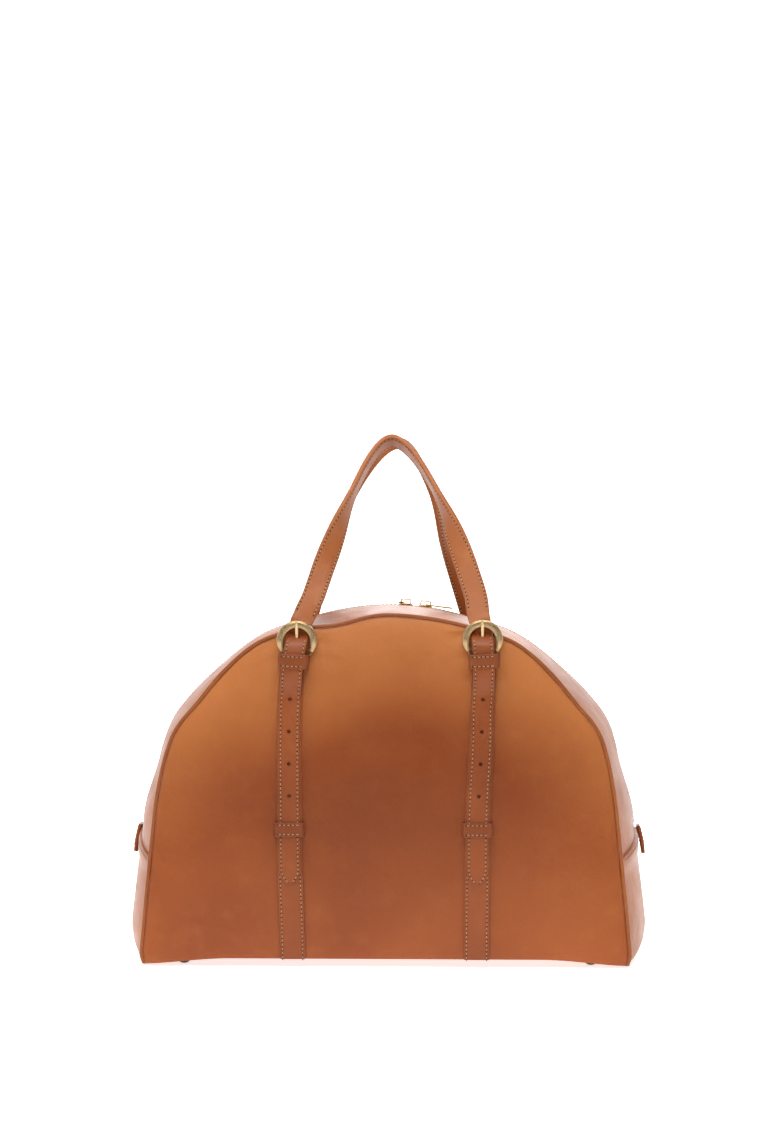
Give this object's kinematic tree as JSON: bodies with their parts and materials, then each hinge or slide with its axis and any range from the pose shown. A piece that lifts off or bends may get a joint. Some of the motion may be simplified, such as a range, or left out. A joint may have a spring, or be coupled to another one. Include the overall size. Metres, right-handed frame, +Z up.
{
  "type": "weekender bag",
  "caption": "Domed leather travel bag with a zip over the top, two strap handles held by round buckles, and domed feet.",
  "frame": {"origin": "on the floor under the middle of the bag", "axes": "+Z up, the front faces -Y, +X is to the right seen from the front"},
  "size_m": [0.488, 0.249, 0.5278],
  "materials": {
    "base_panel": "waxed, smooth grain",
    "left_end_gusset": "waxed, smooth grain",
    "right_end_gusset": "waxed, smooth grain",
    "base_board": "fibre board",
    "base_lining": "woven cotton",
    "front_left_foot": "dark burnished",
    "front_right_foot": "dark burnished",
    "back_left_foot": "dark burnished",
    "back_right_foot": "dark burnished",
    "front_panel": "waxed, smooth grain",
    "front_piping": "waxed, smooth grain",
    "front_zip_gusset": "waxed, smooth grain",
    "front_lining": "woven cotton",
    "front_zip_tape": "woven tape",
    "front_zip_teeth": "polished",
    "front_left_base_strap": "waxed, burnished edges",
    "front_left_strap_tail": "waxed, burnished edges",
    "front_left_upper_keeper": "waxed, burnished edges",
    "front_left_lower_keeper": "waxed, burnished edges",
    "front_left_buckle_frame": "antique",
    "front_right_base_strap": "waxed, burnished edges",
    "front_right_strap_tail": "waxed, burnished edges",
    "front_right_upper_keeper": "waxed, burnished edges",
    "front_right_lower_keeper": "waxed, burnished edges",
    "front_right_buckle_frame": "antique",
    "front_handle": "waxed, burnished edges",
    "front_left_buckle_prong": "antique",
    "front_right_buckle_prong": "antique",
    "back_panel": "waxed, smooth grain",
    "back_piping": "waxed, smooth grain",
    "back_zip_gusset": "waxed, smooth grain",
    "back_lining": "woven cotton",
    "back_zip_tape": "woven tape",
    "back_zip_teeth": "polished",
    "back_left_base_strap": "waxed, burnished edges",
    "back_left_strap_tail": "waxed, burnished edges",
    "back_left_upper_keeper": "waxed, burnished edges",
    "back_left_lower_keeper": "waxed, burnished edges",
    "back_left_buckle_frame": "antique",
    "back_right_base_strap": "waxed, burnished edges",
    "back_right_strap_tail": "waxed, burnished edges",
    "back_right_upper_keeper": "waxed, burnished edges",
    "back_right_lower_keeper": "waxed, burnished edges",
    "back_right_buckle_frame": "antique",
    "back_handle": "waxed, burnished edges",
    "back_left_buckle_prong": "antique",
    "back_right_buckle_prong": "antique",
    "left_slider": "polished",
    "right_slider": "polished",
    "left_puller": "polished",
    "right_puller": "polished",
    "left_end_tab": "folded, burnished edges",
    "right_end_tab": "folded, burnished edges"
  },
  "bodies": {
    "base": {"base_panel": "base_panel", "left_end_gusset": "left_end_gusset", "right_end_gusset": "right_end_gusset", "base_board": "base_board", "base_lining": "base_lining", "front_left_foot": "front_left_foot", "front_right_foot": "front_right_foot", "back_left_foot": "back_left_foot", "back_right_foot": "back_right_foot"},
    "front_half": {"front_panel": "front_panel", "front_piping": "front_piping", "front_zip_gusset": "front_zip_gusset", "front_lining": "front_lining", "front_zip_tape": "front_zip_tape", "front_zip_teeth": "front_zip_teeth", "front_left_base_strap": "front_left_base_strap", "front_left_strap_tail": "front_left_strap_tail", "front_left_upper_keeper": "front_left_upper_keeper", "front_left_lower_keeper": "front_left_lower_keeper", "front_left_buckle_frame": "front_left_buckle_frame", "front_right_base_strap": "front_right_base_strap", "front_right_strap_tail": "front_right_strap_tail", "front_right_upper_keeper": "front_right_upper_keeper", "front_right_lower_keeper": "front_right_lower_keeper", "front_right_buckle_frame": "front_right_buckle_frame"},
    "front_handle_arch": {"front_handle": "front_handle"},
    "front_left_prong": {"front_left_buckle_prong": "front_left_buckle_prong"},
    "front_right_prong": {"front_right_buckle_prong": "front_right_buckle_prong"},
    "back_half": {"back_panel": "back_panel", "back_piping": "back_piping", "back_zip_gusset": "back_zip_gusset", "back_lining": "back_lining", "back_zip_tape": "back_zip_tape", "back_zip_teeth": "back_zip_teeth", "back_left_base_strap": "back_left_base_strap", "back_left_strap_tail": "back_left_strap_tail", "back_left_upper_keeper": "back_left_upper_keeper", "back_left_lower_keeper": "back_left_lower_keeper", "back_left_buckle_frame": "back_left_buckle_frame", "back_right_base_strap": "back_right_base_strap", "back_right_strap_tail": "back_right_strap_tail", "back_right_upper_keeper": "back_right_upper_keeper", "back_right_lower_keeper": "back_right_lower_keeper", "back_right_buckle_frame": "back_right_buckle_frame"},
    "back_handle_arch": {"back_handle": "back_handle"},
    "back_left_prong": {"back_left_buckle_prong": "back_left_buckle_prong"},
    "back_right_prong": {"back_right_buckle_prong": "back_right_buckle_prong"},
    "left_slider_body": {"left_slider": "left_slider"},
    "right_slider_body": {"right_slider": "right_slider"},
    "left_puller_body": {"left_puller": "left_puller"},
    "right_puller_body": {"right_puller": "right_puller"},
    "left_tab": {"left_end_tab": "left_end_tab"},
    "right_tab": {"right_end_tab": "right_end_tab"}
  },
  "joints": [
    {"name": "front_half_open", "type": "hinge", "parent": "base", "child": "front_half", "pos_m": [0, -0.11, 0.008], "axis": [1, 0, 0], "range_deg": [0, 13]},
    {"name": "front_handle_swing", "type": "hinge", "parent": "front_half", "child": "front_handle_arch", "pos_m": [0, -0.1151, 0.33747], "axis": [1, 0, 0], "range_deg": [-4, 172]},
    {"name": "front_left_prong_lift", "type": "hinge", "parent": "front_half", "child": "front_left_prong", "pos_m": [-0.0915, -0.1151, 0.30827], "axis": [1, 0, 0], "range_deg": [0, 8]},
    {"name": "front_right_prong_lift", "type": "hinge", "parent": "front_half", "child": "front_right_prong", "pos_m": [0.0915, -0.1151, 0.30827], "axis": [1, 0, 0], "range_deg": [0, 8]},
    {"name": "back_half_open", "type": "hinge", "parent": "base", "child": "back_half", "pos_m": [0, 0.11, 0.008], "axis": [-1, 0, 0], "range_deg": [0, 13]},
    {"name": "back_handle_swing", "type": "hinge", "parent": "back_half", "child": "back_handle_arch", "pos_m": [0, 0.1151, 0.33747], "axis": [-1, 0, 0], "range_deg": [-4, 172]},
    {"name": "back_left_prong_lift", "type": "hinge", "parent": "back_half", "child": "back_left_prong", "pos_m": [-0.0915, 0.1151, 0.30827], "axis": [-1, 0, 0], "range_deg": [0, 8]},
    {"name": "back_right_prong_lift", "type": "hinge", "parent": "back_half", "child": "back_right_prong", "pos_m": [0.0915, 0.1151, 0.30827], "axis": [-1, 0, 0], "range_deg": [0, 8]},
    {"name": "left_slider_travel", "type": "hinge", "parent": "front_half", "child": "left_slider_body", "pos_m": [0, 0, 0.08884], "axis": [0, -1, 0], "range_deg": [0, 51]},
    {"name": "right_slider_travel", "type": "hinge", "parent": "front_half", "child": "right_slider_body", "pos_m": [0, 0, 0.08884], "axis": [0, 1, 0], "range_deg": [0, 40]},
    {"name": "left_puller_swing", "type": "hinge", "parent": "left_slider_body", "child": "left_puller_body", "pos_m": [0.01161, 0, 0.35805], "axis": [0.061, 0, 0.9981], "range_deg": [0, 170]},
    {"name": "right_puller_flip", "type": "hinge", "parent": "right_slider_body", "child": "right_puller_body", "pos_m": [0.03825, 0, 0.35554], "axis": [0, -1, 0], "range_deg": [0, 110]},
    {"name": "left_tab_swing", "type": "hinge", "parent": "base", "child": "left_tab", "pos_m": [-0.23281, 0, 0.12701], "axis": [0, 1, 0], "range_deg": [0, 75]},
    {"name": "right_tab_swing", "type": "hinge", "parent": "base", "child": "right_tab", "pos_m": [0.23281, 0, 0.12701], "axis": [0, -1, 0], "range_deg": [0, 75]}
  ],
  "couplings": [
    {"joint": "back_half_open", "follows": "front_half_open", "ratio": 1}
  ]
}
